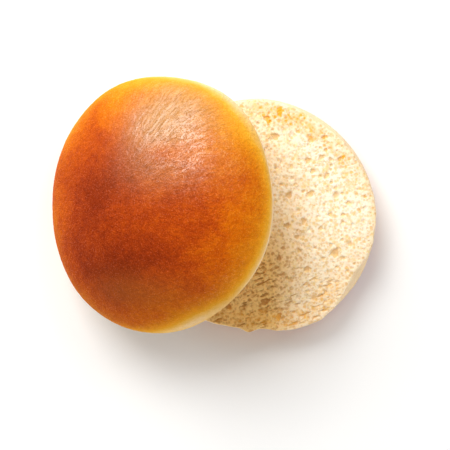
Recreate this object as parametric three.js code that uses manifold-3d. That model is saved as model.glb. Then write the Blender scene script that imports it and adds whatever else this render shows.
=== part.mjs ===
// A soft round bread roll, cut through into two halves.
// The lower half, the heel, lies flat with its crumb facing up. The upper half, the crown, leans
// on it: its rim stands on the table and its cut face rests on the edge of the heel.
// Millimetres, +Z up, +X along the longest side, origin under the middle of the whole.

import * as THREE from 'three';
import { mergeVertices } from 'three/addons/utils/BufferGeometryUtils.js';
import Module from 'manifold-3d';

const wasm = await Module();
wasm.setup();

const DEG = Math.PI / 180;
const SEGMENTS = 72;

// The crown: its cut face, the swell of its side, and how it leans
const CROWN_CUT_RADIUS = 49.5;
const CROWN_SWELL = 2.0;
const CROWN_SWELL_HEIGHT = 7.0;
const CROWN_HEIGHT = 36.0;
const CROWN_DOME_POWER = 2.1;
const CROWN_FACE_SAG = 1.0;
const CROWN_RIM_ROUND = 0.7;
const CROWN_TILT = 33.8 * DEG;
const CROWN_LEAN_TOWARDS = -4.5 * DEG;
const CROWN_SINK = 0.5;

// The heel: its cut face, its flank and its flat base
const HEEL_CUT_RADIUS = 47.6;
const HEEL_FLANK_RADIUS = 48.7;
const HEEL_FLANK_HEIGHT = 12.0;
const HEEL_THICKNESS = 20.0;
const HEEL_BASE_RADIUS = 43.0;
const HEEL_FLANK_POWER = 2.2;
const HEEL_RIM_ROUND = 0.8;

// The heel's middle, seen from the middle of the crown's cut face
const HEEL_AHEAD_X = 36.5;
const HEEL_AHEAD_Y = -4.8;

// The two halves never touch quite
const GAP = 0.4;

// Outlines: waves per turn, share along the cosine, share along the sine
const CROWN_OUTLINE = [
  [2, -0.0066, -0.0014],
  [3, 0.0106, 0.0023],
  [4, -0.0061, -0.0013],
  [5, -0.0023, -0.0046],
  [6, 0.0005, -0.0037],
];
const HEEL_RAGGED_EDGE = [
  [7, 0.0026, -0.0018],
  [11, -0.0022, 0.0024],
  [17, 0.0016, 0.0021],
];

// Stretches of the heel's edge: azimuth, half width, and how far the crumb and the flank step out
const HEEL_EDGE_STRETCHES = [
  { at: 50 * DEG, spread: 26 * DEG, crumb: -2.1, flank: -0.5 },
  { at: 95 * DEG, spread: 22 * DEG, crumb: 0.5, flank: 0.7 },
  { at: -33 * DEG, spread: 13 * DEG, crumb: -2.2, flank: 0.3 },
  { at: -62 * DEG, spread: 22 * DEG, crumb: 1.1, flank: 0.7 },
  { at: -88 * DEG, spread: 9 * DEG, crumb: -1.9, flank: -2.6 },
  { at: -95 * DEG, spread: 3 * DEG, crumb: 1.0, flank: 0.2 },
  { at: -104 * DEG, spread: 7 * DEG, crumb: -1.2, flank: -1.8 },
];

// The largest pores of the heel's face: place from its middle, half length, half width, turn
const LARGE_PORES = [
  { x: 33.1, y: 23.7, long: 1.3, wide: 1.0, turn: 60 * DEG },
  { x: 29.4, y: 23.4, long: 1.0, wide: 0.8, turn: 10 * DEG },
  { x: 31.0, y: -15.0, long: 2.1, wide: 1.6, turn: 75 * DEG },
  { x: 29.3, y: -11.8, long: 1.2, wide: 0.9, turn: 100 * DEG },
  { x: 37.2, y: -11.3, long: 1.3, wide: 1.0, turn: 80 * DEG },
  { x: 12.1, y: 8.9, long: 1.7, wide: 1.4, turn: 70 * DEG },
  { x: 8.8, y: 8.7, long: 1.1, wide: 0.8, turn: 60 * DEG },
  { x: 22.0, y: 18.7, long: 1.4, wide: 1.1, turn: 30 * DEG },
  { x: 15.4, y: -8.4, long: 1.3, wide: 1.1, turn: 20 * DEG },
  { x: 19.5, y: -21.6, long: 1.5, wide: 1.2, turn: 40 * DEG },
  { x: 7.9, y: -17.1, long: 1.4, wide: 1.1, turn: 90 * DEG },
  { x: 1.4, y: -38.5, long: 2.2, wide: 1.2, turn: 5 * DEG },
];

// The other pores are spread evenly, in a spiral that turns by the golden angle
const GOLDEN_ANGLE = 137.508 * DEG;
const HEEL_PORES = 74;
const CROWN_PORES = 34;
const PORE_RADIUS_MIN = 0.75;
const PORE_RADIUS_MAX = 1.5;
const PORE_SIDES = 8;
const PORE_RINGS = 5;

const fraction = (value) => value - Math.floor(value);

// 1 + the sum of an outline's waves at one azimuth
function outlineAt(waves, azimuth) {
  let share = 1;
  for (const [turns, alongCos, alongSin] of waves) {
    share += alongCos * Math.cos(turns * azimuth) + alongSin * Math.sin(turns * azimuth);
  }
  return share;
}

// Slow unevenness of a soft surface, between about -1 and 1
function unevenness(x, y, phase) {
  const broad = Math.sin(x / 8.3 + 1.2 * Math.sin(y / 10.7 + phase) + phase);
  const cross = Math.sin(y / 6.1 + 0.9 * Math.sin(x / 7.9 - phase) + 2 * phase);
  return 0.6 * broad + 0.4 * cross;
}

// How far the stretches of the heel's edge move it at one azimuth, for 'crumb' or 'flank'
function edgeStep(azimuth, which) {
  let step = 0;
  for (const stretch of HEEL_EDGE_STRETCHES) {
    const away = Math.atan2(Math.sin(azimuth - stretch.at), Math.cos(azimuth - stretch.at));
    step += stretch[which] * Math.exp(-((away / stretch.spread) ** 2));
  }
  return step;
}

// A closed solid of revolution whose every point is then moved by one function
function turnedSolid(profile, move) {
  const points = profile.map(([radius, height]) => new THREE.Vector2(radius, height));
  const lathe = new THREE.LatheGeometry(points, SEGMENTS);
  lathe.rotateX(Math.PI / 2);
  lathe.deleteAttribute('normal');
  lathe.deleteAttribute('uv');
  const merged = mergeVertices(lathe, 1e-3);
  const kept = [];
  for (let i = 0; i < merged.index.count; i += 3) {
    const [a, b, c] = [0, 1, 2].map((k) => merged.index.getX(i + k));
    if (a !== b && b !== c && c !== a) {
      kept.push(a, b, c);
    }
  }
  merged.setIndex(kept);
  movePoints(merged, move);
  return merged;
}

function movePoints(geometry, move) {
  const position = geometry.attributes.position;
  const point = new THREE.Vector3();
  for (let i = 0; i < position.count; i += 1) {
    point.fromBufferAttribute(position, i);
    move(point);
    position.setXYZ(i, point.x, point.y, point.z);
  }
}

// The crown's cut face sags a little at its middle, and is as uneven as a knife leaves soft crumb
function crownFaceHeight(x, y) {
  const share = Math.min(Math.hypot(x, y) / CROWN_CUT_RADIUS, 1);
  return (1 - share * share) * (0.35 * unevenness(x, y, 0.4) - CROWN_FACE_SAG);
}

function crownProfile() {
  const profile = [];
  for (const share of [0, 0.2, 0.4, 0.6, 0.78, 0.92]) {
    profile.push([share * CROWN_CUT_RADIUS, 0]);
  }
  profile.push([CROWN_CUT_RADIUS - CROWN_RIM_ROUND, 0]);
  const swellRings = 4;
  for (let i = 0; i <= swellRings; i += 1) {
    const share = i / swellRings;
    const swell = CROWN_SWELL * Math.sin(share * Math.PI / 2);
    profile.push([CROWN_CUT_RADIUS + swell, CROWN_RIM_ROUND + (CROWN_SWELL_HEIGHT - CROWN_RIM_ROUND) * share]);
  }
  const domeRings = 16;
  const widest = CROWN_CUT_RADIUS + CROWN_SWELL;
  for (let i = 1; i < domeRings; i += 1) {
    const angle = (i / domeRings) * Math.PI / 2;
    const radius = widest * Math.cos(angle) ** (2 / CROWN_DOME_POWER);
    const rise = (CROWN_HEIGHT - CROWN_SWELL_HEIGHT) * Math.sin(angle) ** (2 / CROWN_DOME_POWER);
    profile.push([radius, CROWN_SWELL_HEIGHT + rise]);
  }
  profile.push([0, CROWN_HEIGHT]);
  return profile;
}

function crownSurface(point) {
  const outline = outlineAt(CROWN_OUTLINE, Math.atan2(point.y, point.x));
  point.x *= outline;
  point.y *= outline;
  if (point.z === 0) {
    point.z += crownFaceHeight(point.x, point.y);
  } else {
    const up = point.z / CROWN_HEIGHT;
    point.z += 0.5 * up * unevenness(1.3 * point.x, 1.3 * point.y, 2.1);
  }
}

// The flank swells from the cut edge to its widest, then curves in to the flat base
function heelProfile() {
  const profile = [[0, 0], [0.5 * HEEL_BASE_RADIUS, 0], [HEEL_BASE_RADIUS, 0]];
  const lowerRings = 6;
  const swell = HEEL_FLANK_RADIUS - HEEL_BASE_RADIUS;
  for (let i = 1; i <= lowerRings; i += 1) {
    const height = HEEL_FLANK_HEIGHT * (i / lowerRings) ** 1.6;
    const below = (HEEL_FLANK_HEIGHT - height) / HEEL_FLANK_HEIGHT;
    const share = (1 - below ** HEEL_FLANK_POWER) ** (1 / HEEL_FLANK_POWER);
    profile.push([HEEL_BASE_RADIUS + swell * share, height]);
  }
  profile.push([HEEL_FLANK_RADIUS - 0.2, 0.5 * (HEEL_FLANK_HEIGHT + HEEL_THICKNESS)]);
  profile.push([HEEL_CUT_RADIUS + 0.4, HEEL_THICKNESS - HEEL_RIM_ROUND]);
  profile.push([HEEL_CUT_RADIUS - HEEL_RIM_ROUND, HEEL_THICKNESS]);
  for (const share of [0.92, 0.84, 0.74, 0.63, 0.52, 0.41, 0.3, 0.19, 0.09, 0]) {
    profile.push([share * HEEL_CUT_RADIUS, HEEL_THICKNESS]);
  }
  return profile;
}

function heelFaceHeight(x, y) {
  return 0.45 * unevenness(x, y, 1.7) + 0.2 * unevenness(2.6 * x, 2.6 * y, 0.9);
}

function heelSurface(point) {
  const azimuth = Math.atan2(point.y, point.x);
  const rise = THREE.MathUtils.smoothstep(point.z, HEEL_FLANK_HEIGHT, HEEL_THICKNESS - HEEL_RIM_ROUND);
  const crumbScale = outlineAt(HEEL_RAGGED_EDGE, azimuth) + edgeStep(azimuth, 'crumb') / HEEL_CUT_RADIUS;
  const flankScale = 1 + edgeStep(azimuth, 'flank') / HEEL_FLANK_RADIUS;
  const scale = THREE.MathUtils.lerp(flankScale, crumbScale, rise);
  point.x *= scale;
  point.y *= scale;
  if (point.z === HEEL_THICKNESS) {
    point.z += heelFaceHeight(point.x, point.y);
  }
}

// One pore: an egg-shaped hollow, given as a closed body to be cut away
function pore(x, y, z, long, wide, deep, turn) {
  const body = new THREE.SphereGeometry(1, PORE_SIDES, PORE_RINGS);
  body.rotateX(Math.PI / 2);
  body.deleteAttribute('normal');
  body.deleteAttribute('uv');
  body.scale(long, wide, deep);
  body.rotateZ(turn);
  body.translate(x, y, z);
  return mergeVertices(body, 1e-3);
}

// Pores spread over a round face, clear of its rim and of the larger pores named by hand
function spreadPores(count, faceRadius, faceHeight, named, start) {
  const pores = [];
  for (let i = 0; i < count; i += 1) {
    const radius = 0.9 * faceRadius * Math.sqrt((i + 0.5) / count);
    const azimuth = start + i * GOLDEN_ANGLE + 0.3 * fraction(i * 0.5698);
    const x = radius * Math.cos(azimuth);
    const y = radius * Math.sin(azimuth);
    const crowded = named.some((large) => Math.hypot(large.x - x, large.y - y) < 3.6);
    if (!crowded) {
      const size = PORE_RADIUS_MIN + (PORE_RADIUS_MAX - PORE_RADIUS_MIN) * fraction(i * 0.7549) ** 2;
      const stretch = 1 + 0.5 * fraction(i * 0.3247);
      const turn = Math.PI * fraction(i * 0.8191);
      pores.push(pore(x, y, faceHeight(x, y), size * stretch, size, 1.1 * size, turn));
    }
  }
  return pores;
}

function solidOf(geometry) {
  const vertProperties = new Float32Array(geometry.attributes.position.array);
  const triVerts = new Uint32Array(geometry.index.array);
  return new wasm.Manifold(new wasm.Mesh({ numProp: 3, vertProperties, triVerts }));
}

function geometryOf(solid) {
  const mesh = solid.getMesh();
  const geometry = new THREE.BufferGeometry();
  geometry.setAttribute('position', new THREE.BufferAttribute(new Float32Array(mesh.vertProperties), 3));
  geometry.setIndex([...mesh.triVerts]);
  geometry.computeVertexNormals();
  return geometry;
}

function withPores(body, pores) {
  let solid = solidOf(body);
  for (const hollow of pores) {
    solid = solid.subtract(solidOf(hollow));
  }
  return geometryOf(solid);
}

// Where the crown stands: tilted about the middle of its cut face, its rim pressed on the table
function crownPlacement(body) {
  const tilt = new THREE.Matrix4().makeRotationZ(CROWN_LEAN_TOWARDS);
  tilt.multiply(new THREE.Matrix4().makeRotationY(-CROWN_TILT));
  tilt.multiply(new THREE.Matrix4().makeRotationZ(-CROWN_LEAN_TOWARDS));
  const tilted = body.clone().applyMatrix4(tilt);
  tilted.computeBoundingBox();
  const raise = -tilted.boundingBox.min.z - CROWN_SINK;
  return new THREE.Matrix4().makeTranslation(0, 0, raise).multiply(tilt);
}

// The soft rim is flattened where the crown stands on it
function pressOnTable(body, placement) {
  const back = placement.clone().invert();
  movePoints(body, (point) => {
    point.applyMatrix4(placement);
    point.z = Math.max(point.z, 0);
    point.applyMatrix4(back);
  });
}

// The heel's soft edge gives way under the crown's cut face
function pressUnderCrown(body, placement, heelPlace) {
  const back = placement.clone().invert();
  movePoints(body, (point) => {
    point.add(heelPlace).applyMatrix4(back);
    const reach = CROWN_CUT_RADIUS * outlineAt(CROWN_OUTLINE, Math.atan2(point.y, point.x));
    const underFace = Math.hypot(point.x, point.y) < reach;
    const ceiling = crownFaceHeight(point.x, point.y) - GAP;
    if (underFace && point.z > ceiling) {
      point.z = ceiling;
    }
    point.applyMatrix4(placement).sub(heelPlace);
  });
}

const crownBody = turnedSolid(crownProfile(), crownSurface);
const placement = crownPlacement(crownBody);
pressOnTable(crownBody, placement);
const crownPores = spreadPores(CROWN_PORES, CROWN_CUT_RADIUS, crownFaceHeight, [], 0.7);
const crown = new THREE.Mesh(
  withPores(crownBody, crownPores),
  new THREE.MeshStandardMaterial({ color: 0xb4602a, roughness: 0.42, metalness: 0 }),
);
crown.name = 'crown';
placement.decompose(crown.position, crown.quaternion, crown.scale);

const heelPlace = new THREE.Vector3(HEEL_AHEAD_X, HEEL_AHEAD_Y, 0);
const heelFaceTop = (x, y) => HEEL_THICKNESS + heelFaceHeight(x, y);
const heelPores = [
  ...LARGE_PORES.map(({ x, y, long, wide, turn }) => pore(x, y, heelFaceTop(x, y), long, wide, 1.3 * wide, turn)),
  ...spreadPores(HEEL_PORES, HEEL_CUT_RADIUS, heelFaceTop, LARGE_PORES, 0),
];
const heelBody = turnedSolid(heelProfile(), heelSurface);
pressUnderCrown(heelBody, placement, heelPlace);
const heel = new THREE.Mesh(
  withPores(heelBody, heelPores),
  new THREE.MeshStandardMaterial({ color: 0xf3dcb2, roughness: 0.85, metalness: 0 }),
);
heel.name = 'heel';
heel.position.copy(heelPlace);

// The two halves, moved so that the origin lies under the middle of the whole
const roll = new THREE.Group();
roll.add(crown, heel);
roll.updateMatrixWorld(true);
const whole = new THREE.Box3().setFromObject(roll, true);
roll.position.set(-(whole.min.x + whole.max.x) / 2, -(whole.min.y + whole.max.y) / 2, -whole.min.z);

export default roll;
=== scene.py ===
"""A soft round bread roll in two halves: the glossy crown leans on the heel, whose crumb faces up.

Each half is one closed mesh. Rings of points follow its outline, a Geometry Nodes tree presses the
pores of the crumb and the fine wrinkles of the crust into it, and its materials read what the mesh
knows about each point: how far it is browned, how near the rim it lies, how deep in a pore.
Forms are worked out in millimetres, and a mesh is made in metres.
"""
import math

import bpy
import numpy as np
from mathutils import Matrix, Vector


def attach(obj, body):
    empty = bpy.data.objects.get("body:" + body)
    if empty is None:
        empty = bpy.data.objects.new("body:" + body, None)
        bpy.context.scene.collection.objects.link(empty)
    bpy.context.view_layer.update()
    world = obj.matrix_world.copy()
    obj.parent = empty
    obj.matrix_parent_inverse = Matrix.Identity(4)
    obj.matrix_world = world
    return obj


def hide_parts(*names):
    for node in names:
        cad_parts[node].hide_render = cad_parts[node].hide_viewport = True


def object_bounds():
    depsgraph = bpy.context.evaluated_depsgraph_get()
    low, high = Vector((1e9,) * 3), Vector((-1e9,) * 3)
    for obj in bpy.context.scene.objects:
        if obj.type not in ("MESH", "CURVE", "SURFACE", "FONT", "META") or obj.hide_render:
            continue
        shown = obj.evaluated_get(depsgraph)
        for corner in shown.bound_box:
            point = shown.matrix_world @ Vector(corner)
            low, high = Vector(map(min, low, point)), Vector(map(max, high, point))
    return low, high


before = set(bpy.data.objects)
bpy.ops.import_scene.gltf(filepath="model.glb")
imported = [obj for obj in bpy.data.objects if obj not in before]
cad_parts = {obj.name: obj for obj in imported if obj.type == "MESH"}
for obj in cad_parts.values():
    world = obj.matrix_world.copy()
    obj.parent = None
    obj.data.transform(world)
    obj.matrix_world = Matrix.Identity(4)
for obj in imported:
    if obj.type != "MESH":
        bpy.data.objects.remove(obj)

CAD_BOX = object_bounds()
MM = 0.001
DEG = math.pi / 180

# The crown, as in the part: its cut face, the swell of its side, and how it leans
CROWN_CUT_RADIUS = 49.5
CROWN_SWELL = 2.0
CROWN_SWELL_HEIGHT = 7.0
CROWN_HEIGHT = 36.0
CROWN_DOME_POWER = 2.1
CROWN_FACE_SAG = 1.0
CROWN_RIM_ROUND = 0.7
CROWN_TILT = 33.8 * DEG
CROWN_LEAN_TOWARDS = -4.5 * DEG
CROWN_SINK = 0.5

# The heel, as in the part: its cut face, its flank and its flat base
HEEL_CUT_RADIUS = 47.6
HEEL_FLANK_RADIUS = 48.7
HEEL_FLANK_HEIGHT = 12.0
HEEL_THICKNESS = 20.0
HEEL_BASE_RADIUS = 43.0
HEEL_FLANK_POWER = 2.2
HEEL_RIM_ROUND = 0.8
HEEL_AHEAD = np.array((36.5, -4.8, 0.0))
GAP = 0.4

# Outlines: waves per turn, share along the cosine, share along the sine
CROWN_OUTLINE = (
    (2, -0.0066, -0.0014),
    (3, 0.0106, 0.0023),
    (4, -0.0061, -0.0013),
    (5, -0.0023, -0.0046),
    (6, 0.0005, -0.0037),
)
HEEL_RAGGED_EDGE = (
    (7, 0.0026, -0.0018),
    (11, -0.0022, 0.0024),
    (17, 0.0016, 0.0021),
    (31, 0.0011, -0.0014),
    (47, -0.0012, 0.0010),
)

# Stretches of the heel's edge: azimuth, half width, and how far crumb and flank step out
HEEL_EDGE_STRETCHES = (
    (50 * DEG, 26 * DEG, -2.1, -0.5),
    (95 * DEG, 22 * DEG, 0.5, 0.7),
    (-33 * DEG, 13 * DEG, -2.2, 0.3),
    (-62 * DEG, 22 * DEG, 1.1, 0.7),
    (-88 * DEG, 9 * DEG, -1.9, -2.6),
    (-95 * DEG, 3 * DEG, 1.0, 0.2),
    (-104 * DEG, 7 * DEG, -1.2, -1.8),
)

# The largest pores of the heel's face: x, y, half length, half width, turn
LARGE_PORES = (
    (33.1, 23.7, 1.3, 1.0, 60 * DEG),
    (29.4, 23.4, 1.0, 0.8, 10 * DEG),
    (31.0, -15.0, 2.1, 1.6, 75 * DEG),
    (29.3, -11.8, 1.2, 0.9, 100 * DEG),
    (37.2, -11.3, 1.3, 1.0, 80 * DEG),
    (12.1, 8.9, 1.7, 1.4, 70 * DEG),
    (8.8, 8.7, 1.1, 0.8, 60 * DEG),
    (22.0, 18.7, 1.4, 1.1, 30 * DEG),
    (15.4, -8.4, 1.3, 1.1, 20 * DEG),
    (19.5, -21.6, 1.5, 1.2, 40 * DEG),
    (7.9, -17.1, 1.4, 1.1, 90 * DEG),
    (1.4, -38.5, 2.2, 1.2, 5 * DEG),
)

# The other pores: how many, how large, how far from a large one, how far out on the face as a share of
# its radius, and how deep all pores are as a share of their half width
GOLDEN_ANGLE = 137.508 * DEG
HEEL_PORES = 74
CROWN_PORES = 34
PORE_RADIUS_MIN = 0.75
PORE_RADIUS_MAX = 1.5
PORE_CLEARANCE = 3.6
PORES_REACH = 0.9
PORE_DEPTH_SHARE = 0.75

# The height of the slow waves of the two cut faces and of the crown's top
CROWN_FACE_WAVE = 0.35
CROWN_TOP_WAVE = 0.5
HEEL_FACE_WAVE = 0.45
HEEL_FACE_RIPPLE = 0.2

# How the crown is baked. Its browning by height above the cut: height, share of the darkest brown
CROWN_BROWNING = (
    (0, 0.0), (2, 0.08), (4, 0.18), (8, 0.3), (12, 0.4), (16, 0.47), (20, 0.51),
    (24, 0.55), (28, 0.6), (31, 0.64), (34, 0.68), (36, 0.71),
)
BROWNEST = 1.1

# Where its side stayed paler, or browned more where the share is negative, and where only its rim
# stayed paler: azimuth, half width, the heights between which that ends, share
CROWN_PALER_SIDES = (
    (62 * DEG, 48 * DEG, 12, 40, 0.28),
    (125 * DEG, 26 * DEG, 14, 33, 0.21),
    # The lower side at 288 degrees is partly paler crust and partly painted light, which lifts the side
    # that faces away from the windows.
    (288 * DEG, 36 * DEG, 11, 22, 0.3),
    (2 * DEG, 22 * DEG, 12, 24, -0.10),
)
CROWN_PALER_RIM = (
    (-26 * DEG, 34 * DEG, 5, 13, 0.12),
    (60 * DEG, 38 * DEG, 6, 16, 0.11),
)

# Patches that browned more or less: x and y of the middle, reach along x and along y, share
CROWN_PATCHES = (
    (-8, 34, 7.75, 7.75, -0.13),
    # The patch at the lower side is partly browner crust and partly painted shade, on the side that faces
    # away from the windows.
    (1, -26, 20, 12, 0.17),
    (-12, -10, 16, 30, 0.06),
    (9, -7, 12.25, 12.25, 0.04),
    (39, -12, 8.37, 8.37, 0.08),
    (-9, -21, 6.32, 6.32, -0.05),
)
# The band of painted shade at the lower side: x and y of its middle, reach along x and along y
CROWN_SHADE_BAND = (6, -36, 25, 8)

# The egg wash on the crown: x and y of the middle, then its reach. The thick wash reaches less far to
# one side than to the other, so it has two numbers along x
THICK_WASH = (18, 31, 16.5, 19.5, 16)
THIN_WASH = (23, 11, 19, 9)
WASH_GAP = (20, 17, 7, 3.5)

# The heel's crumb: the golden spots that show most, as x, y and size, and the arc that the crown's
# edge follows over the face, as x and y of its middle and its radius
HEEL_GOLDEN_SPOTS = ((8.6, 43.0, 1.3), (17.6, 41.6, 1.2), (34.6, 24.6, 0.8), (3.5, 39.0, 0.9))
# The painted shade beside the crown follows this arc.
CROWN_EDGE_ARC = (-82.5, 4.4, 88.0)

# How close together the mesh's points lie, how far the crumb's are shifted as a share of that, and how
# wide a border of each cut face is left as it is
HEEL_CRUMB_SPACING = 0.34
HEEL_RIM_SPACING = 0.35
CROWN_CRUMB_SPACING = 0.62
CROWN_RIM_SPACING = 0.3
DOME_SPACING = 0.44
FLANK_SPACING = 0.75
BASE_SPACING = 1.2
SCATTER_SHARE = 0.3
CROWN_STEADY_BORDER = 1.5
HEEL_STEADY_BORDER = 1.8

# How high the fine waves of each crust stand in the mesh, and its grain in the material
CROWN_WAVE_HEIGHT = 0.34 * MM
HEEL_WAVE_HEIGHT = 0.2 * MM
CROWN_GRAIN_HEIGHT = 0.22 * MM
HEEL_GRAIN_HEIGHT = 0.2 * MM

# The view: straight down from half a metre. Its middle is given from the middle of the crown's cut face
VIEW_HEIGHT = 0.5
VIEW_AHEAD = np.array((22.26, -8.26, 0.0))
VIEW_WIDTH_ON_TABLE = 0.1931
SENSOR = 36.0

# The lights: name, azimuth, elevation, the panel's width and height in metres, power, colour
LIGHT_DISTANCE = 1.2
LIGHTS = (
    ("high_window", 120 * DEG, 52 * DEG, (0.6, 0.6), 9.8, (1.0, 0.98, 0.94)),
    ("low_window", 114 * DEG, 24 * DEG, (1.1, 0.5), 5.1, (1.0, 0.97, 0.91)),
    ("right_window", 50 * DEG, 48 * DEG, (0.6, 0.6), 3.2, (1.0, 0.99, 0.97)),
    ("fill", 292 * DEG, 14 * DEG, (0.9, 0.4), 4.2, (1.0, 0.99, 0.97)),
    ("left_window", 160 * DEG, 25 * DEG, (0.6, 0.6), 2.6, (1.0, 0.97, 0.92)),
)
ROOM_STRENGTH = 0.36
TABLE_REACH = 3.0

rng = np.random.default_rng(7)


def outline_at(waves, azimuth):
    """1 + the sum of an outline's waves at each azimuth."""
    share = np.ones_like(azimuth)
    for turns, along_cos, along_sin in waves:
        share += along_cos * np.cos(turns * azimuth) + along_sin * np.sin(turns * azimuth)
    return share


def unevenness(x, y, phase):
    """Slow unevenness of a soft surface, between about -1 and 1."""
    broad = np.sin(x / 8.3 + 1.2 * np.sin(y / 10.7 + phase) + phase)
    cross = np.sin(y / 6.1 + 0.9 * np.sin(x / 7.9 - phase) + 2 * phase)
    return 0.6 * broad + 0.4 * cross


def smoothstep(value, low, high):
    """0 below low, 1 above high, and a smooth rise between them."""
    share = np.clip((value - low) / (high - low), 0, 1)
    return share * share * (3 - 2 * share)


def band(value, rise_from, rise_to, fall_from, fall_to):
    """A smooth rise from 0 to 1, and a smooth fall back to 0."""
    return smoothstep(value, rise_from, rise_to) * (1 - smoothstep(value, fall_from, fall_to))


def hump(azimuth, at, spread):
    """A bell round one azimuth."""
    away = np.arctan2(np.sin(azimuth - at), np.cos(azimuth - at))
    return np.exp(-((away / spread) ** 2))


def along(curve, spacing):
    """Points at even steps along a curve of (radius, height) points, its two ends included."""
    curve = np.asarray(curve, float)
    run = np.concatenate(([0], np.cumsum(np.hypot(*np.diff(curve, axis=0).T))))
    steps = np.linspace(0, run[-1], max(2, round(run[-1] / spacing) + 1))
    return np.stack([np.interp(steps, run, curve[:, k]) for k in (0, 1)], axis=1)


# Turned bodies: rings of points from the middle of the lower face, round the side, to the top

class TurnedBody:
    """Rings of points, each with its radius, height and azimuth, joined into one closed mesh."""

    def __init__(self, stretches):
        """stretches is a list of (curve, spacing, is it crumb), from the axis below to the axis above."""
        self.rings = []
        parts = []
        count = 0
        for curve, spacing, crumb in stretches:
            points = along(curve, spacing)
            if self.rings:
                points = points[1:]
            for radius, height in points:
                size = max(6, round(2 * math.pi * radius / spacing)) if radius > 0.01 else 1
                azimuth = np.arange(size) * 2 * math.pi / size
                self.rings.append((count, size))
                parts.append(np.broadcast_arrays(radius, height, azimuth, float(crumb)))
                count += size
        radius, height, azimuth, crumb = (np.concatenate(part) for part in zip(*parts))
        self.radius = radius
        self.height = height
        self.azimuth = azimuth
        self.crumb = crumb
        self.spot = np.stack([radius * np.cos(azimuth), radius * np.sin(azimuth), height], axis=1)

    def faces(self):
        """Triangles between each ring and the next, which may hold different numbers of points."""
        tie = 1e-9
        found = []
        for (low, lows), (high, highs) in zip(self.rings, self.rings[1:]):
            if lows > 1:
                i = np.arange(lows)
                across = np.ceil((i + 0.5) / lows * highs - 0.5 - tie).astype(int) % highs
                found.append(np.stack([low + i, low + (i + 1) % lows, high + across], axis=1))
            if highs > 1:
                j = np.arange(highs)
                across = np.floor((j + 0.5) / highs * lows + 0.5 + tie).astype(int) % lows
                found.append(np.stack([low + across, high + (j + 1) % highs, high + j], axis=1))
        return np.concatenate(found)

    def scatter(self, reach, by):
        """Shifts the crumb's points a little in its own plane, so that no rings show."""
        inside = (self.crumb > 0) & (self.radius < reach)
        self.spot[inside, :2] += rng.uniform(-by, by, (int(inside.sum()), 2))

    def side(self, at, spread, ends_from, ends_at):
        """1 on the side at one azimuth, less away from it and above the heights between which it ends."""
        return hump(self.azimuth, at, spread) * (1 - smoothstep(self.height, ends_from, ends_at))

    def patch(self, x, y, along_x, along_y):
        """1 in the middle of a soft oval, less away from it."""
        return np.exp(-(((self.spot[:, 0] - x) / along_x) ** 2 + ((self.spot[:, 1] - y) / along_y) ** 2))


# The crown

def crown_face_height(x, y):
    share = np.minimum(np.hypot(x, y) / CROWN_CUT_RADIUS, 1)
    return (1 - share * share) * (CROWN_FACE_WAVE * unevenness(x, y, 0.4) - CROWN_FACE_SAG)


def crown_stretches():
    edge = CROWN_CUT_RADIUS - CROWN_RIM_ROUND
    face = [(0, 0), (edge, 0)]
    rim = [(edge + CROWN_RIM_ROUND * math.sin(a), CROWN_RIM_ROUND * (1 - math.cos(a)))
           for a in np.linspace(0, math.pi / 2, 7)]
    swell = [(CROWN_CUT_RADIUS + CROWN_SWELL * math.sin(share * math.pi / 2),
              CROWN_RIM_ROUND + (CROWN_SWELL_HEIGHT - CROWN_RIM_ROUND) * share)
             for share in np.linspace(0, 1, 40)]
    widest = CROWN_CUT_RADIUS + CROWN_SWELL
    rise = CROWN_HEIGHT - CROWN_SWELL_HEIGHT
    power = 2 / CROWN_DOME_POWER
    dome = [(widest * max(math.cos(a), 0) ** power, CROWN_SWELL_HEIGHT + rise * math.sin(a) ** power)
            for a in np.linspace(0, math.pi / 2, 400)]
    dome[-1] = (0.0, CROWN_HEIGHT)
    return [
        (face, CROWN_CRUMB_SPACING, True),
        (rim, CROWN_RIM_SPACING, False),
        (swell, DOME_SPACING, False),
        (dome, DOME_SPACING, False),
    ]


def shape_crown(body):
    """Moves the turned points to the crown's own form, its cut face at height 0."""
    outline = outline_at(CROWN_OUTLINE, body.azimuth)
    spot = body.spot
    spot[:, 0] *= outline
    spot[:, 1] *= outline
    face = body.crumb > 0
    up = spot[:, 2] / CROWN_HEIGHT
    wave = CROWN_TOP_WAVE * up * unevenness(1.3 * spot[:, 0], 1.3 * spot[:, 1], 2.1)
    sag = crown_face_height(spot[:, 0], spot[:, 1])
    spot[:, 2] += np.where(face, sag, wave)


def crown_browning(body):
    """0 for pale dough to 1 for the darkest brown, in the crown's own frame."""
    x, y = body.spot[:, 0], body.spot[:, 1]
    heights, shares = zip(*CROWN_BROWNING)
    brown = np.interp(body.height, heights, shares)
    off_the_top = smoothstep(body.radius, 4, 24) * smoothstep(body.height, 1, 12)
    for *side, share in CROWN_PALER_SIDES:
        brown -= share * body.side(*side) * off_the_top
    for *side, share in CROWN_PALER_RIM:
        brown -= share * body.side(*side)
    for *patch, share in CROWN_PATCHES:
        brown += share * body.patch(*patch)
    brown += 0.055 * smoothstep(body.height, 3, 14) * unevenness(1.1 * x, 1.1 * y, 3.3)
    return np.clip(brown, 0, BROWNEST)


def crown_painted_shade(body):
    """Painted shade: a duller, darker brown in a band above the paler rim at the lower side, which faces
    away from the windows.
    """
    return 0.6 * body.patch(*CROWN_SHADE_BAND)


def crown_glaze(body):
    """The egg wash: it lies thickest on one side of the top, and thin past a gap below that."""
    x, y = body.spot[:, 0], body.spot[:, 1]
    at_x, at_y, left, right, along_y = THICK_WASH
    away = ((x - at_x) / np.where(x < at_x, left, right)) ** 2 + ((y - at_y) / along_y) ** 2
    thick = np.exp(-away ** 1.2)
    thin = 0.3 * body.patch(*THIN_WASH)
    gap = 0.5 * body.patch(*WASH_GAP)
    return (1 - (1 - thick) * (1 - thin)) * (1 - gap) * smoothstep(body.height, 9, 22)


# The heel

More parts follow.
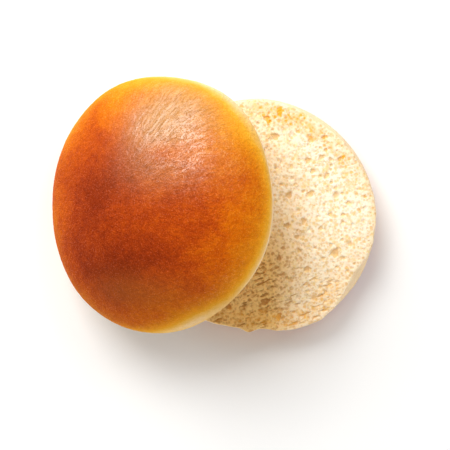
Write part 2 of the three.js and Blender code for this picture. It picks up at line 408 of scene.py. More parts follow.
def heel_stretches():
    base = [(0, 0), (HEEL_BASE_RADIUS, 0)]
    swell = HEEL_FLANK_RADIUS - HEEL_BASE_RADIUS
    flank = []
    for height in HEEL_FLANK_HEIGHT * np.linspace(0, 1, 80) ** 2:
        below = (HEEL_FLANK_HEIGHT - height) / HEEL_FLANK_HEIGHT
        share = (1 - below ** HEEL_FLANK_POWER) ** (1 / HEEL_FLANK_POWER)
        flank.append((HEEL_BASE_RADIUS + swell * share, height))
    flank.append((HEEL_FLANK_RADIUS - 0.2, 0.5 * (HEEL_FLANK_HEIGHT + HEEL_THICKNESS)))
    flank.append((HEEL_CUT_RADIUS + 0.4, HEEL_THICKNESS - HEEL_RIM_ROUND))
    rim = [flank[-1], (HEEL_CUT_RADIUS + 0.1, HEEL_THICKNESS - 0.25 * HEEL_RIM_ROUND),
           (HEEL_CUT_RADIUS - HEEL_RIM_ROUND, HEEL_THICKNESS)]
    face = [rim[-1], (0, HEEL_THICKNESS)]
    return [
        (base, BASE_SPACING, False),
        (flank, FLANK_SPACING, False),
        (rim, HEEL_RIM_SPACING, True),
        (face, HEEL_CRUMB_SPACING, True),
    ]


def heel_face_height(x, y):
    wave = HEEL_FACE_WAVE * unevenness(x, y, 1.7)
    return wave + HEEL_FACE_RIPPLE * unevenness(2.6 * x, 2.6 * y, 0.9)


def shape_heel(body):
    """Moves the turned points to the heel's own form, its base at height 0."""
    crumb_step = np.zeros_like(body.azimuth)
    flank_step = np.zeros_like(body.azimuth)
    for at, spread, crumb, flank in HEEL_EDGE_STRETCHES:
        crumb_step += crumb * hump(body.azimuth, at, spread)
        flank_step += flank * hump(body.azimuth, at, spread)
    rise = smoothstep(body.height, HEEL_FLANK_HEIGHT, HEEL_THICKNESS - HEEL_RIM_ROUND)
    crumb_scale = outline_at(HEEL_RAGGED_EDGE, body.azimuth) + crumb_step / HEEL_CUT_RADIUS
    flank_scale = 1 + flank_step / HEEL_FLANK_RADIUS
    scale = flank_scale + (crumb_scale - flank_scale) * rise
    spot = body.spot
    spot[:, 0] *= scale
    spot[:, 1] *= scale
    near_face = smoothstep(body.height, HEEL_THICKNESS - 2, HEEL_THICKNESS)
    spot[:, 2] += near_face * heel_face_height(spot[:, 0], spot[:, 1])


def heel_browning(body):
    """Pale at the cut, tan down the flank, golden brown underneath."""
    brown = 0.5 - 0.54 * smoothstep(body.height, 0, 0.75 * HEEL_THICKNESS)
    # Painted shade: the flank is browner on its lower right side, which faces away from the windows.
    brown += 0.3 * body.side(-33 * DEG, 20 * DEG, 8, 16)
    brown += 0.03 * unevenness(body.spot[:, 0], body.spot[:, 1], 5.1)
    return np.clip(brown, 0, 1)


def heel_smear(body):
    """Where the knife drew the crumb out: the side away from the window."""
    x, y = body.spot[:, 0], body.spot[:, 1]
    return smoothstep(-0.25 * x - y, 8, 24)


def heel_tan_and_shade(body):
    """How tan the crumb is: by the crust on two sides, with painted shade beside the crown and towards the
    lower side, where the crown's shadow falls.
    """
    x, y = body.spot[:, 0], body.spot[:, 1]
    rim = HEEL_CUT_RADIUS - body.radius
    thin = 0.3 * smoothstep(rim, 3.5, 0.5)
    above = 0.3 * hump(body.azimuth, 72 * DEG, 32 * DEG) * band(rim, 1, 2.5, 4, 8)
    below = 0.9 * hump(body.azimuth, -102 * DEG, 26 * DEG) * band(rim, 0.5, 2.5, 5, 14)
    # Painted shade: tan that darkens the crumb towards the lower side and beside the crown's edge, in the
    # crown's shadow.
    lower_side_shade = 0.3 * smoothstep(-y, -6, 40) + 0.35 * smoothstep(-0.9 * x - y, 16, 50)
    from_crown = np.hypot(x - CROWN_EDGE_ARC[0], y - CROWN_EDGE_ARC[1]) - CROWN_EDGE_ARC[2]
    beside = (1 - smoothstep(from_crown, -4, 24)) * (0.35 + 0.6 * smoothstep(-y, -12, 24))
    return np.clip(np.maximum.reduce([thin, above, below, lower_side_shade + beside]), 0, 1)


def heel_golden(body):
    """Where the pores by the crust are golden: at the upper side, and weakly at the lower one."""
    by_crust = band(HEEL_CUT_RADIUS - body.radius, 0.6, 2.2, 5, 10)
    upper = 1.2 * hump(body.azimuth, 76 * DEG, 24 * DEG) + 0.5 * hump(body.azimuth, 35 * DEG, 40 * DEG)
    golden = by_crust * (upper + 0.7 * hump(body.azimuth, -80 * DEG, 45 * DEG))
    for x, y, size in HEEL_GOLDEN_SPOTS:
        golden += 4.0 * body.patch(x, y, size, size)
    return golden


# Pores, at the places that the part has them

def fraction(value):
    return value - math.floor(value)


def spread_pores(count, face_radius, named, start):
    """Pores in a spiral by the golden angle, clear of the large ones that are listed."""
    pores = []
    for i in range(count):
        radius = PORES_REACH * face_radius * math.sqrt((i + 0.5) / count)
        azimuth = start + i * GOLDEN_ANGLE + 0.3 * fraction(i * 0.5698)
        x = radius * math.cos(azimuth)
        y = radius * math.sin(azimuth)
        if not any(math.hypot(large[0] - x, large[1] - y) < PORE_CLEARANCE for large in named):
            size = PORE_RADIUS_MIN + (PORE_RADIUS_MAX - PORE_RADIUS_MIN) * fraction(i * 0.7549) ** 2
            stretch = 1 + 0.5 * fraction(i * 0.3247)
            pores.append((x, y, size * stretch, size, math.pi * fraction(i * 0.8191)))
    return pores


def pore_depth(body, pores):
    """How deep each point of the crumb lies in the pores, in millimetres."""
    x, y = body.spot[:, 0], body.spot[:, 1]
    depth = np.zeros_like(x)
    for at_x, at_y, long, wide, turn in pores:
        dx, dy = x - at_x, y - at_y
        u = (dx * math.cos(turn) + dy * math.sin(turn)) / long
        v = (dy * math.cos(turn) - dx * math.sin(turn)) / wide
        bearing = np.arctan2(v, u)
        wobble = 1 + 0.13 * np.sin(3 * bearing + 9 * at_x) + 0.09 * np.sin(5 * bearing + at_y)
        inside = np.maximum(1 - (u * u + v * v) / wobble ** 2, 0)
        depth = np.maximum(depth, PORE_DEPTH_SHARE * wide * np.sqrt(inside))
    return depth * (body.crumb > 0)


# Where the two halves stand

def tilt_matrix():
    """Turns the crown so that its side towards the heel is raised."""
    c, s = math.cos(CROWN_LEAN_TOWARDS), math.sin(CROWN_LEAN_TOWARDS)
    about_z = np.array(((c, -s, 0), (s, c, 0), (0, 0, 1)))
    c, s = math.cos(CROWN_TILT), math.sin(CROWN_TILT)
    about_y = np.array(((c, 0, -s), (0, 1, 0), (s, 0, c)))
    return about_z @ about_y @ about_z.T


def stand_crown(body, tilt):
    """The crown's points and the middle of its cut face, its soft rim flattened on the table."""
    turned = body.spot @ tilt.T
    middle = np.array((0, 0, -turned[:, 2].min() - CROWN_SINK))
    turned += middle
    turned[:, 2] = np.maximum(turned[:, 2], 0)
    return turned, middle


def press_under_crown(spots, tilt, middle):
    """The heel's soft edge gives way under the crown's cut face."""
    local = (spots - middle) @ tilt
    reach = CROWN_CUT_RADIUS * outline_at(CROWN_OUTLINE, np.arctan2(local[:, 1], local[:, 0]))
    ceiling = crown_face_height(local[:, 0], local[:, 1]) - GAP
    under = (np.hypot(local[:, 0], local[:, 1]) < reach) & (local[:, 2] > ceiling)
    local[under, 2] = ceiling[under]
    return local @ tilt.T + middle


# Making a mesh of it

def add_object(name, data):
    made = bpy.data.objects.new(name, data)
    bpy.context.scene.collection.objects.link(made)
    return made


def mesh_object(name, spots, faces, measures):
    """A closed mesh in metres, with one named measure for each point."""
    mesh = bpy.data.meshes.new(name)
    mesh.from_pydata((spots * MM).tolist(), [], faces.tolist())
    for key, values in measures.items():
        attribute = mesh.attributes.new(key, "FLOAT", "POINT")
        attribute.data.foreach_set("value", np.asarray(values, np.float32))
    return add_object(name, mesh)


class Nodes:
    """Adds nodes to a tree and joins their sockets."""

    def __init__(self, tree):
        self.tree = tree

    def add(self, kind, inputs=None, **settings):
        node = self.tree.nodes.new(kind)
        for key, value in settings.items():
            setattr(node, key, value)
        for key, value in (inputs or {}).items():
            if isinstance(value, bpy.types.NodeSocket):
                self.tree.links.new(value, node.inputs[key])
            else:
                node.inputs[key].default_value = value
        return node

    def math(self, operation, a, b=0.5, clamp=False):
        return self.add("ShaderNodeMath", {0: a, 1: b}, operation=operation, use_clamp=clamp).outputs[0]

    def plus(self, a, b, clamp=False):
        return self.math("ADD", a, b, clamp)

    def minus(self, a, b):
        return self.math("SUBTRACT", a, b)

    def times(self, a, b, clamp=False):
        return self.math("MULTIPLY", a, b, clamp)

    def vector(self, operation, a, b):
        return self.add("ShaderNodeVectorMath", {0: a, 1: b}, operation=operation).outputs[0]

    def scaled(self, vector, by):
        return self.add("ShaderNodeVectorMath", {0: vector, "Scale": by}, operation="SCALE").outputs[0]

    def dot(self, a, b):
        return self.add("ShaderNodeVectorMath", {0: a, 1: b}, operation="DOT_PRODUCT").outputs["Value"]

    def step(self, value, low, high, to_low=0.0, to_high=1.0):
        """A smooth step from to_low to to_high."""
        inputs = {"Value": value, "From Min": low, "From Max": high, "To Min": to_low, "To Max": to_high}
        return self.add("ShaderNodeMapRange", inputs, interpolation_type="SMOOTHSTEP").outputs[0]

    def noise(self, vector, scale, detail=2.0, roughness=0.5):
        inputs = {"Vector": vector, "Scale": scale, "Detail": detail, "Roughness": roughness}
        return self.add("ShaderNodeTexNoise", inputs).outputs["Fac"]

    def ripple(self, vector, scale, detail=2.0, roughness=0.5):
        """Noise around 0."""
        return self.minus(self.noise(vector, scale, detail, roughness), 0.5)

    def drift(self, vector, scale, detail, by):
        """A random shift at each place, up to about half of by each way."""
        inputs = {"Vector": vector, "Scale": scale, "Detail": detail}
        colour = self.add("ShaderNodeTexNoise", inputs).outputs["Color"]
        return self.scaled(self.vector("SUBTRACT", colour, (0.5, 0.5, 0.5)), by)

    def cells(self, vector, scale):
        return self.add("ShaderNodeTexVoronoi", {"Vector": vector, "Scale": scale}).outputs

    def polar(self, turn, each_turn, reach, each_reach):
        """A place for noise that is drawn out from the middle: finer round it than away from it."""
        inputs = {"X": self.times(turn, each_turn), "Y": self.times(reach, each_reach)}
        return self.add("ShaderNodeCombineXYZ", inputs).outputs[0]

    def mix_colour(self, share, a, b, blend="MIX"):
        node = self.add("ShaderNodeMix", {"Factor": share, 6: a, 7: b}, data_type="RGBA", blend_type=blend)
        return node.outputs[2]


def add_inputs(tree, numbers):
    """Named inputs of a tree, each a number or a vector with its value to start from."""
    for key, value in numbers.items():
        kind = "NodeSocketVector" if isinstance(value, tuple) else "NodeSocketFloat"
        tree.interface.new_socket(key, in_out="INPUT", socket_type=kind).default_value = value


def geometry_tree(name, numbers):
    """A Geometry Nodes tree with a geometry and these named numbers as its inputs."""
    tree = bpy.data.node_groups.new(name, "GeometryNodeTree")
    tree.interface.new_socket("Geometry", in_out="INPUT", socket_type="NodeSocketGeometry")
    tree.interface.new_socket("Geometry", in_out="OUTPUT", socket_type="NodeSocketGeometry")
    add_inputs(tree, numbers)
    nodes = Nodes(tree)
    return nodes, nodes.add("NodeGroupInput").outputs


def named(nodes, key):
    """A measure of the mesh, inside a Geometry Nodes tree."""
    node = nodes.add("GeometryNodeInputNamedAttribute", {"Name": key}, data_type="FLOAT")
    return node.outputs["Attribute"]


def cell_layer(nodes, place, cell, wall, deepest, open_share):
    """Round hollows with walls between them, each as deep as its own random number says. In metres."""
    cell = nodes.cells(place, nodes.math("DIVIDE", 1.0, cell))
    chance = nodes.add("ShaderNodeSeparateXYZ", {"Vector": cell["Color"]}).outputs[0]
    inside = nodes.step(cell["Distance"], 0.6 - wall, 0.12)
    depth = nodes.step(chance, 1 - open_share, 1.0)
    return nodes.times(nodes.times(inside, depth), deepest)


def crumb_tree():
    """Presses cells of three sizes, and the pores named by the part, into the points marked as crumb."""
    nodes, given = geometry_tree("crumb_pores", {
        "Inward": (0.0, 0.0, -1.0),
        "Seed": (0.0, 0.0, 0.0),
        "Fine Cell": 1.2 * MM,
        "Middle Cell": 2.3 * MM,
        "Large Cell": 4.6 * MM,
        "Fine Depth": 0.4 * MM,
        "Middle Depth": 0.8 * MM,
        "Large Depth": 1.2 * MM,
        "Smear Depth": 0.9 * MM,
        "Roughness": 0.2 * MM,
    })
    crumb = named(nodes, "crumb")
    rim = named(nodes, "rim")
    place = nodes.vector("ADD", nodes.add("GeometryNodeInputPosition").outputs[0], given["Seed"])
    place = nodes.vector("ADD", place, nodes.drift(place, 520.0, 2.0, 0.8 * MM))

    fine = cell_layer(nodes, place, given["Fine Cell"], 0.02, given["Fine Depth"], 1.1)
    middle = cell_layer(nodes, place, given["Middle Cell"], 0.06, given["Middle Depth"], 0.6)
    large = cell_layer(nodes, place, given["Large Cell"], 0.12, given["Large Depth"], 0.25)
    middle = nodes.times(middle, nodes.step(rim, 0.5, 3.0))
    large = nodes.times(large, nodes.step(rim, 3.0, 7.0))
    kept = nodes.times(named(nodes, "pore"), MM)
    deep = nodes.math("MAXIMUM", nodes.math("MAXIMUM", fine, middle), nodes.math("MAXIMUM", large, kept))

    turned = nodes.add("ShaderNodeVectorRotate", {"Vector": place, "Angle": -20 * DEG}).outputs[0]
    drawn = nodes.vector("MULTIPLY", turned, (230.0, 1000.0, 250.0))
    streaks = nodes.step(nodes.noise(drawn, 1.0, 2.0, 0.5), 0.5, 0.7, 0.0, given["Smear Depth"])
    streaks = nodes.times(streaks, named(nodes, "smear"))
    deep = nodes.math("MAXIMUM", deep, streaks)

    rough = nodes.times(nodes.ripple(place, 1000.0, 3.0, 0.6), given["Roughness"])
    shift = nodes.plus(nodes.times(deep, nodes.step(rim, 0.2, 1.6)), rough)
    shift = nodes.times(shift, crumb)

    moved = nodes.add("GeometryNodeSetPosition", {
        "Geometry": given["Geometry"],
        "Offset": nodes.scaled(given["Inward"], shift),
    })
    pitted = nodes.add("GeometryNodeStoreNamedAttribute", {
        "Geometry": moved.outputs[0],
        "Name": "pit",
        "Value": nodes.math("DIVIDE", nodes.times(deep, crumb), MM),
    }, data_type="FLOAT", domain="POINT")
    return nodes, pitted.outputs[0]


def crust_wrinkles(nodes, geometry, depth):
    """Fine leathery waves all over the crust, and short creases that run down from the crown's top."""
    place = nodes.add("GeometryNodeInputPosition").outputs[0]
    turn = named(nodes, "turn")
    reach = named(nodes, "reach")
    pebbles = nodes.times(nodes.ripple(place, 1050.0, 1.0), 0.5)
    waves = nodes.plus(nodes.ripple(place, 560.0, 3.0, 0.6), pebbles)
    bent = nodes.vector("ADD", nodes.polar(turn, 23.0, reach, 0.22), nodes.scaled(place, 130.0))
    strokes = nodes.times(nodes.ripple(bent, 1.0, 1.0), named(nodes, "glaze"))
    creases = nodes.times(nodes.ripple(nodes.polar(turn, 13.0, reach, 0.09), 1.0), 5.0)
    creases = nodes.times(creases, named(nodes, "creased"))
    height = nodes.times(nodes.plus(nodes.plus(waves, strokes), creases), depth)
    crust = nodes.minus(1.0, named(nodes, "crumb"))
    height = nodes.times(height, nodes.times(crust, named(nodes, "aside")))
    moved = nodes.add("GeometryNodeSetPosition", {
        "Geometry": geometry,
        "Offset": nodes.scaled(nodes.add("GeometryNodeInputNormal").outputs[0], height),
    })
    return moved.outputs[0]


def dressed(nodes, geometry, crust, crumb):
    """Ends a tree: instances made real, and each face in the crust's or the crumb's material."""
    real = nodes.add("GeometryNodeRealizeInstances", {"Geometry": geometry}).outputs[0]
    outer = nodes.add("GeometryNodeSetMaterial", {"Geometry": real, "Material": crust}).outputs[0]
    both = nodes.add("GeometryNodeSetMaterial", {
        "Geometry": outer,
        "Selection": nodes.math("GREATER_THAN", named(nodes, "crumb"), 0.5),
        "Material": crumb,
    })
    nodes.add("NodeGroupOutput", {"Geometry": both.outputs[0]})
    return nodes.tree


def finish_by(made, tree, values):
    """Gives the object the tree's result as its plain mesh."""
    modifier = made.modifiers.new(tree.name, "NODES")
    modifier.node_group = tree
    for socket in tree.interface.items_tree:
        if socket.item_type == "SOCKET" and socket.in_out == "INPUT" and socket.name in values:
            modifier[socket.identifier] = values[socket.name]
    evaluated = made.evaluated_get(bpy.context.evaluated_depsgraph_get())
    mesh = bpy.data.meshes.new_from_object(evaluated)
    made.modifiers.remove(modifier)
    made.data = mesh
    mesh.polygons.foreach_set("use_smooth", np.ones(len(mesh.polygons), bool))
    mesh.update()


def texture_half(made, wave_height, crust, crumb, values):
    """Presses pores into a half's crumb and waves into its crust, and gives it its two materials."""
    nodes, geometry = crumb_tree()
    geometry = crust_wrinkles(nodes, geometry, wave_height)
    finish_by(made, dressed(nodes, geometry, crust, crumb), values)


# Materials

def srgb(red, green, blue):
    """A colour as it is seen on screen, in 0 to 255, turned into the shader's linear numbers."""
    shares = (red / 255, green / 255, blue / 255)
    linear = [share / 12.92 if share <= 0.04045 else ((share + 0.055) / 1.055) ** 2.4 for share in shares]
    return (*linear, 1.0)


# The colours of the crust by its share of the darkest brown, the duller brown of the painted shade at its
# lower side, and its wash, whose paler colour also paints part of the highlight
CRUST_STOPS = (
    (0.0, srgb(243, 214, 172)),
    (0.1, srgb(241, 192, 106)),
    (0.2, srgb(237, 169, 42)),
    (0.3, srgb(231, 148, 20)),
    (0.4, srgb(216, 124, 12)),
    (0.5, srgb(204, 100, 3)),
    (0.6, srgb(187, 78, 5)),
    (0.7, srgb(165, 59, 6)),
    (0.8, srgb(141, 46, 7)),
    (1.0, srgb(108, 24, 0)),
)
SHADE_BROWN = srgb(146, 80, 30)
EGG_WASH_AND_HIGHLIGHT = srgb(184, 138, 82)

# The colours of the crumb, the table and the room. The hollows and the deepest pores carry painted shade,
# and the tan colours also paint the shade beside the crown and towards the lower side
PALE_WALL = srgb(252, 240, 220)
TAN_AND_SHADE_WALL = srgb(242, 198, 124)
SHADED_PALE_HOLLOW = srgb(238, 197, 128)
SHADED_TAN_HOLLOW = srgb(182, 122, 54)
SHADED_DEEP_PORE = srgb(222, 166, 90)
YELLOW_CRUMB = srgb(247, 211, 140)
GOLDEN_CRUMB = srgb(248, 178, 56)
TABLE_WHITE = (0.93, 0.94, 0.955, 1.0)
ROOM_WHITE = (1.0, 0.985, 0.965, 1.0)


def shader_group(name, inputs, outputs):
    """A node group for an effect that more than one material uses."""
    tree = bpy.data.node_groups.new(name, "ShaderNodeTree")
    add_inputs(tree, inputs)
    for key in outputs:
        tree.interface.new_socket(key, in_out="OUTPUT", socket_type="NodeSocketFloat")
    nodes = Nodes(tree)
    return nodes, nodes.add("NodeGroupInput").outputs


def mottle_group():
    """Patches, blotches and specks of three sizes, each around 0."""
    nodes, given = shader_group("mottle", {
        "Vector": (0.0, 0.0, 0.0),
        "Patch Scale": 70.0,
        "Blotch Scale": 330.0,
        "Speck Scale": 2100.0,
    }, ("Patches", "Blotches", "Specks"))
    nodes.add("NodeGroupOutput", {
        "Patches": nodes.ripple(given["Vector"], given["Patch Scale"], 3.0, 0.6),
        "Blotches": nodes.ripple(given["Vector"], given["Blotch Scale"], 3.0, 0.6),
        "Specks": nodes.ripple(given["Vector"], given["Speck Scale"], 2.0, 0.6),
    })
    return nodes.tree


def grain_group():
    """The height of a fine pebbled skin: small cells with soft borders, broken by noise."""
    nodes, given = shader_group("grain", {
        "Vector": (0.0, 0.0, 0.0),
        "Cell Scale": 1100.0,
        "Noise Scale": 2300.0,
        "Noise Share": 0.6,
    }, ("Height",))
    pebble = nodes.add("ShaderNodeTexVoronoi", {
        "Vector": given["Vector"],
        "Scale": given["Cell Scale"],
        "Smoothness": 0.7,
    }, feature="SMOOTH_F1").outputs["Distance"]
    noise = nodes.noise(given["Vector"], given["Noise Scale"], 2.0, 0.6)
    noise = nodes.times(noise, given["Noise Share"])
    nodes.add("NodeGroupOutput", {"Height": nodes.minus(noise, pebble)})
    return nodes.tree


MOTTLE = mottle_group()
GRAIN = grain_group()


def attribute(nodes, key):
    """A measure of the mesh, inside a material."""
    return nodes.add("ShaderNodeAttribute", attribute_name=key).outputs["Fac"]


def new_material(name, **constants):
    """A material with one Principled shader, and its Object coordinates."""
    material = bpy.data.materials.new(name)
    material.use_nodes = True
    nodes = Nodes(material.node_tree)
    shader = material.node_tree.nodes["Principled BSDF"]
    for key, value in constants.items():
        shader.inputs[key.replace("_", " ")].default_value = value
    place = nodes.add("ShaderNodeTexCoord").outputs["Object"]
    return material, nodes, shader, place


def ramp(nodes, share, stops):
    """A colour by a share from 0 to 1. stops is a list of (share, colour)."""
    node = nodes.add("ShaderNodeValToRGB", {"Fac": share})
    elements = node.color_ramp.elements
    while len(elements) < len(stops):
        elements.new(1.0)
    for element, (at, colour) in zip(elements, stops):
        element.position = at
        element.color = colour
    return node.outputs["Color"]


def placed(nodes, group, place, **values):
    """A node group in a material, at this place and with its own values."""
    node = nodes.add("ShaderNodeGroup", node_tree=group)
    nodes.tree.links.new(place, node.inputs["Vector"])
    for key, value in values.items():
        node.inputs[key.replace("_", " ")].default_value = value
    return node.outputs


def feed(nodes, shader, **sources):
    """Joins each source to the shader's input of its name."""
    for key, source in sources.items():
        nodes.tree.links.new(source, shader.inputs[key.replace("_", " ")])


def spotted(nodes, spots, **shares):
    """The mottle's outputs added up, each by its own share."""
    total = 0.0
    for key, share in shares.items():
        total = nodes.plus(total, nodes.times(spots[key], share))
    return total


def shaded(nodes, colour, light):
    """A colour made lighter or darker: light is a number round 0."""
    light = nodes.plus(light, 1.0)
    grey = nodes.add("ShaderNodeCombineColor", {"Red": light, "Green": light, "Blue": light}).outputs[0]
    return nodes.mix_colour(1.0, colour, grey, blend="MULTIPLY")


# Fine and broad strokes of the crown's skin: how many to a radian, how many to a metre, how bent
FINE_STROKES = (46.0, 340.0, 5.0)
BROAD_STROKES = (16.0, 75.0, 1.6)


def strokes_down(nodes, place, middle, tilt, stroke):
    """Short strokes that run down from the crown's top, around 0."""
    each_turn, each_metre, bend = stroke
    from_middle = nodes.vector("SUBTRACT", place, tuple(middle * MM))
    x = nodes.dot(from_middle, tuple(tilt[:, 0]))
    y = nodes.dot(from_middle, tuple(tilt[:, 1]))
    turn = nodes.math("ARCTAN2", y, x)
    reach = nodes.math("SQRT", nodes.plus(nodes.times(x, x), nodes.times(y, y)))
    polar = nodes.polar(turn, each_turn, reach, each_metre)
    polar = nodes.vector("ADD", polar, nodes.drift(place, 120.0, 1.0, bend))
    return nodes.times(nodes.ripple(polar, 1.0, 2.0, 0.6), nodes.step(reach, 6 * MM, 20 * MM))


def crust_colour(nodes, spots, brown, glaze, mottle):
    """Brown by the share of browning, broken by spots, darker with painted shade in its band at the lower
    side, and paler in the wash, which also paints part of the highlight.
    """
    fleck = spotted(nodes, spots, Patches=0.26, Blotches=-0.16, Specks=-0.3)
    fleck = nodes.times(fleck, nodes.step(brown, 0.0, 0.7, 0.3 * mottle, mottle))
    colour = ramp(nodes, nodes.plus(brown, fleck, clamp=True), CRUST_STOPS)
    colour = nodes.mix_colour(attribute(nodes, "lower_shade"), colour, SHADE_BROWN)
    # The wash's paler, beige colour also paints part of the highlight on the crown's top.
    return nodes.mix_colour(nodes.times(glaze, 0.78), colour, EGG_WASH_AND_HIGHLIGHT)


def wet_shine(nodes, spots, brown, glaze, height):
    """The coat of dried egg wash, broken by the skin's grain, and glints of single specks beside it."""
    wet = nodes.step(height, -1.0, 0.6, 0.2, 1.2)
    wet = nodes.plus(wet, spotted(nodes, spots, Blotches=1.2, Specks=5.0))
    glints = nodes.math("MAXIMUM", nodes.times(nodes.minus(spots["Specks"], 0.06), 2.6), 0.0)
    wet = nodes.plus(nodes.times(wet, glaze), glints, clamp=True)
    return nodes.times(wet, nodes.step(brown, 0.1, 0.4))


def crust_material(name, grain_height, mottle, strokes=None, **constants):
    """Baked crust, broken by its mottle, from 0 for none to 1 for the strongest.

    strokes is the middle and the tilt of a half whose skin has strokes that run down from its top.
    """
    material, nodes, shader, place = new_material(name, **constants)
    spots = placed(nodes, MOTTLE, place, Patch_Scale=150.0, Blotch_Scale=560.0, Speck_Scale=2300.0)
    brown = attribute(nodes, "browned")
    glaze = attribute(nodes, "glaze")
    colour = crust_colour(nodes, spots, brown, glaze, mottle)
    light = nodes.times(spots["Specks"], nodes.step(brown, 0.25, 0.75, 0.2 * mottle, 0.4 * mottle))
    blotched = nodes.times(spots["Blotches"], nodes.step(brown, 0.1, 0.5, 0.2, 0.3))
    light = nodes.plus(light, blotched)
    height = placed(nodes, GRAIN, place)["Height"]
    wash = glaze
    if strokes:
        fine = strokes_down(nodes, place, *strokes, FINE_STROKES)
        broad = strokes_down(nodes, place, *strokes, BROAD_STROKES)
        # Under the wash the fine strokes also lighten and darken the colour: painted texture of the broken
        # highlight.
        light = nodes.plus(light, nodes.times(fine, nodes.step(glaze, 0.1, 0.8, 0.1, 0.7)))
        height = nodes.plus(height, nodes.times(fine, nodes.step(glaze, 0.0, 0.8, 1.2, 4.2)))
        wash = nodes.times(glaze, nodes.step(broad, -0.16, 0.12, 0.45, 1.3))
    bump = nodes.add("ShaderNodeBump", {"Height": height, "Strength": 1.0, "Distance": grain_height})
    feed(
        nodes, shader,
        Base_Color=shaded(nodes, colour, light),
        Roughness=nodes.plus(nodes.times(spots["Specks"], 0.3), nodes.step(glaze, 0.0, 1.0, 0.85, 0.45)),
        Coat_Weight=wet_shine(nodes, spots, brown, wash, height),
        Normal=bump.outputs[0],
    )
    return material


def crumb_colour(nodes, spots, cells, pit):
    """Pale walls round hollows darkened with painted shade, tan by the crust and with painted shade beside
    the crown, ochre painted shade in the deepest pores, golden in places.
    """
    tan = attribute(nodes, "tan")
    wall = nodes.mix_colour(tan, PALE_WALL, TAN_AND_SHADE_WALL)
    shaded_hollow = nodes.mix_colour(tan, SHADED_PALE_HOLLOW, SHADED_TAN_HOLLOW)
    # Painted shade: the cells' hollows and the deepest pores are darker and warmer than the walls.
    colour = nodes.mix_colour(nodes.times(cells, 0.85), wall, shaded_hollow)
    colour = nodes.mix_colour(nodes.step(pit, 0.9, 1.7, 0.0, 0.6), colour, SHADED_DEEP_PORE)
    yellow = nodes.step(spots["Blotches"], 0.0, 0.22, 0.0, 0.75)
    colour = nodes.mix_colour(yellow, colour, YELLOW_CRUMB)
    golden = nodes.times(attribute(nodes, "golden"), nodes.step(spots["Blotches"], -0.18, 0.04))
    golden = nodes.times(golden, nodes.math("MAXIMUM", cells, 0.35), clamp=True)
    return nodes.mix_colour(golden, colour, GOLDEN_CRUMB)


def crumb_material():
    """Open crumb, its cells of two sizes drawn on top of the pores that the mesh has, as bumps and as
    hollows darkened with painted shade.
    """
    material, nodes, shader, place = new_material(
        "soft_crumb",
        Subsurface_Weight=0.25,
        Subsurface_Radius=(0.0016, 0.0011, 0.0007),
        Subsurface_Scale=1.0,
        Specular_IOR_Level=0.2,
    )
    spots = placed(nodes, MOTTLE, place, Patch_Scale=90.0, Blotch_Scale=420.0, Speck_Scale=1300.0)
    pit = attribute(nodes, "pit")
    bent = nodes.vector("ADD", place, nodes.drift(place, 900.0, 1.0, 0.7 * MM))
    small = nodes.step(nodes.cells(bent, 760.0)["Distance"], 0.5, 0.24)
    wider = nodes.step(nodes.cells(bent, 420.0)["Distance"], 0.42, 0.16)
    cells = nodes.math("MAXIMUM", nodes.times(small, 0.6), nodes.times(wider, 0.9))
    cells = nodes.math("MAXIMUM", cells, nodes.step(pit, 0.15, 0.7, 0.0, 0.9))
    light = spotted(nodes, spots, Blotches=-0.15, Specks=0.2, Patches=0.12)
    grain = placed(nodes, GRAIN, place, Cell_Scale=1400.0, Noise_Scale=1900.0, Noise_Share=1.0)["Height"]
    height = nodes.minus(nodes.times(grain, 0.4), cells)
    bump = nodes.add("ShaderNodeBump", {"Height": height, "Strength": 0.6, "Distance": 0.3 * MM})
    feed(
        nodes, shader,
        Base_Color=shaded(nodes, crumb_colour(nodes, spots, cells, pit), light),
        Roughness=nodes.plus(nodes.times(spots["Specks"], 0.2), 0.8),
        Normal=bump.outputs[0],
    )
    return material


# The pieces

def crown_measures(body):
    """What the crown's mesh knows about each point."""
    rim = CROWN_CUT_RADIUS - body.radius
    return {
        "crumb": body.crumb,
        "rim": rim,
        "pore": pore_depth(body, spread_pores(CROWN_PORES, CROWN_CUT_RADIUS, (), 0.7)),
        "browned": crown_browning(body),
        "turn": body.azimuth,
        "reach": body.radius,
        "creased": hump(body.azimuth, 82 * DEG, 16 * DEG) * band(body.radius, 20, 29, 40, 46),
        "aside": smoothstep(body.height, 1, 5),
        "glaze": crown_glaze(body),
        "lower_shade": crown_painted_shade(body),
        "smear": np.zeros_like(rim),
        "tan": 0.5 * smoothstep(rim, 4, 0.5),
        "golden": 0.8 * smoothstep(rim, 5, 1.5),
    }


def heel_measures(body):
    """What the heel's mesh knows about each point."""
    pores = list(LARGE_PORES) + spread_pores(HEEL_PORES, HEEL_CUT_RADIUS, LARGE_PORES, 0)
    none = np.zeros_like(body.radius)
    return {
        "crumb": body.crumb,
        "rim": HEEL_CUT_RADIUS - body.radius,
        "pore": pore_depth(body, pores),
        "browned": heel_browning(body),
        "turn": body.azimuth,
        "reach": body.radius,
        "creased": none,
        "aside": band(body.height, 0.5, 4, 16, 19),
        "glaze": none,
        "lower_shade": none,
        "smear": heel_smear(body),
        "tan": heel_tan_and_shade(body),
        "golden": heel_golden(body),
    }


def crown_crust(middle, tilt):
    """Deep brown and mottled, and shiny where the egg wash lies."""
    return crust_material(
        "glazed_crust", CROWN_GRAIN_HEIGHT, 1.0, (middle, tilt),
        Subsurface_Weight=0.08, Subsurface_Radius=(0.0012, 0.0005, 0.0002), Subsurface_Scale=1.0,
        Specular_IOR_Level=0.09, Specular_Tint=(1.0, 0.82, 0.55, 1.0), Coat_Roughness=0.35, Coat_IOR=1.95,
    )


def heel_crust():
    """The same crust, but matt and without the strokes."""
    return crust_material(
        "matt_crust", HEEL_GRAIN_HEIGHT, 0.8,
        Subsurface_Weight=0.15, Subsurface_Radius=(0.0018, 0.0009, 0.0004), Subsurface_Scale=1.0,
        Specular_IOR_Level=0.25,
    )


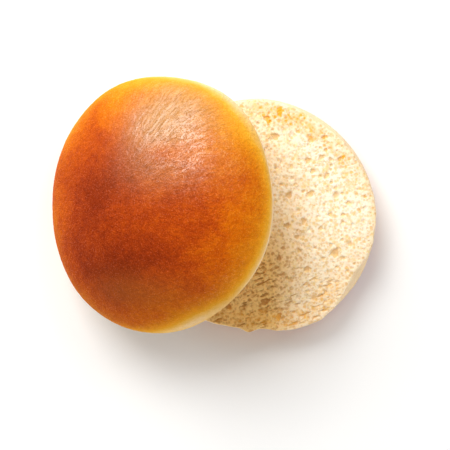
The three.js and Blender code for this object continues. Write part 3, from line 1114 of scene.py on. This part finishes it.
def make_pieces():
    """Makes both halves, and returns the place that the camera looks down on."""
    crown = TurnedBody(crown_stretches())
    heel = TurnedBody(heel_stretches())
    crown.scatter(CROWN_CUT_RADIUS - CROWN_STEADY_BORDER, SCATTER_SHARE * CROWN_CRUMB_SPACING)
    heel.scatter(HEEL_CUT_RADIUS - HEEL_STEADY_BORDER, SCATTER_SHARE * HEEL_CRUMB_SPACING)
    shape_crown(crown)
    shape_heel(heel)
    tilt = tilt_matrix()
    crown_spots, middle = stand_crown(crown, tilt)
    heel_spots = press_under_crown(heel.spot + HEEL_AHEAD, tilt, middle)

    both = np.concatenate([crown_spots, heel_spots])
    cad_middle = (np.array(CAD_BOX[0]) + np.array(CAD_BOX[1])) / 2 / MM
    shift = cad_middle - (both.min(0) + both.max(0)) / 2
    shift[2] = 0

    crown_made = mesh_object("crown_half", crown_spots + shift, crown.faces(), crown_measures(crown))
    heel_made = mesh_object("heel_half", heel_spots + shift, heel.faces(), heel_measures(heel))
    crumb = crumb_material()
    up = tuple(float(v) for v in tilt[:, 2])
    texture_half(crown_made, CROWN_WAVE_HEIGHT, crown_crust(middle + shift, tilt), crumb,
                 {"Inward": up, "Seed": (0.31, 0.17, 0.05)})
    texture_half(heel_made, HEEL_WAVE_HEIGHT, heel_crust(), crumb, {"Inward": (0.0, 0.0, -1.0)})

    for made, node, finish in ((crown_made, "crown", "crust"), (heel_made, "heel", "crumb")):
        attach(made, "root")
        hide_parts(node)
    return shift + VIEW_AHEAD


def make_camera(middle):
    """Looks straight down on the roll from where the photo was taken."""
    camera = add_object("camera", bpy.data.cameras.new("camera"))
    camera.location = (middle[0] * MM, middle[1] * MM, VIEW_HEIGHT)
    camera.data.sensor_width = SENSOR
    camera.data.lens = SENSOR * VIEW_HEIGHT / VIEW_WIDTH_ON_TABLE
    camera.data.clip_start = 0.01
    bpy.context.scene.camera = camera


def soft_light(name, azimuth, elevation, size, power, colour):
    """A panel of light that faces the roll."""
    data = bpy.data.lights.new(name, "AREA")
    data.shape = "RECTANGLE"
    data.size, data.size_y = size
    data.energy = power
    data.color = colour
    level = math.cos(elevation)
    towards = Vector((math.cos(azimuth) * level, math.sin(azimuth) * level, math.sin(elevation)))
    made = add_object(name, data)
    made.location = towards * LIGHT_DISTANCE
    made.rotation_euler = towards.to_track_quat("Z", "Y").to_euler()


def make_studio():
    """A pale table, the light of the windows, and the light that the room throws back."""
    far = TABLE_REACH
    mesh = bpy.data.meshes.new("table")
    mesh.from_pydata([(-far, -far, 0), (far, -far, 0), (far, far, 0), (-far, far, 0)], [], [(0, 1, 2, 3)])
    mesh.materials.append(new_material("pale_table", Roughness=0.9, Base_Color=TABLE_WHITE)[0])
    table = add_object("table", mesh)
    for light in LIGHTS:
        soft_light(*light)
    world = bpy.data.worlds.new("studio")
    world.use_nodes = True
    background = world.node_tree.nodes["Background"].inputs
    background["Color"].default_value = ROOM_WHITE
    background["Strength"].default_value = ROOM_STRENGTH
    bpy.context.scene.world = world
    bpy.context.scene.view_settings.view_transform = "Standard"


make_camera(make_pieces())
make_studio()
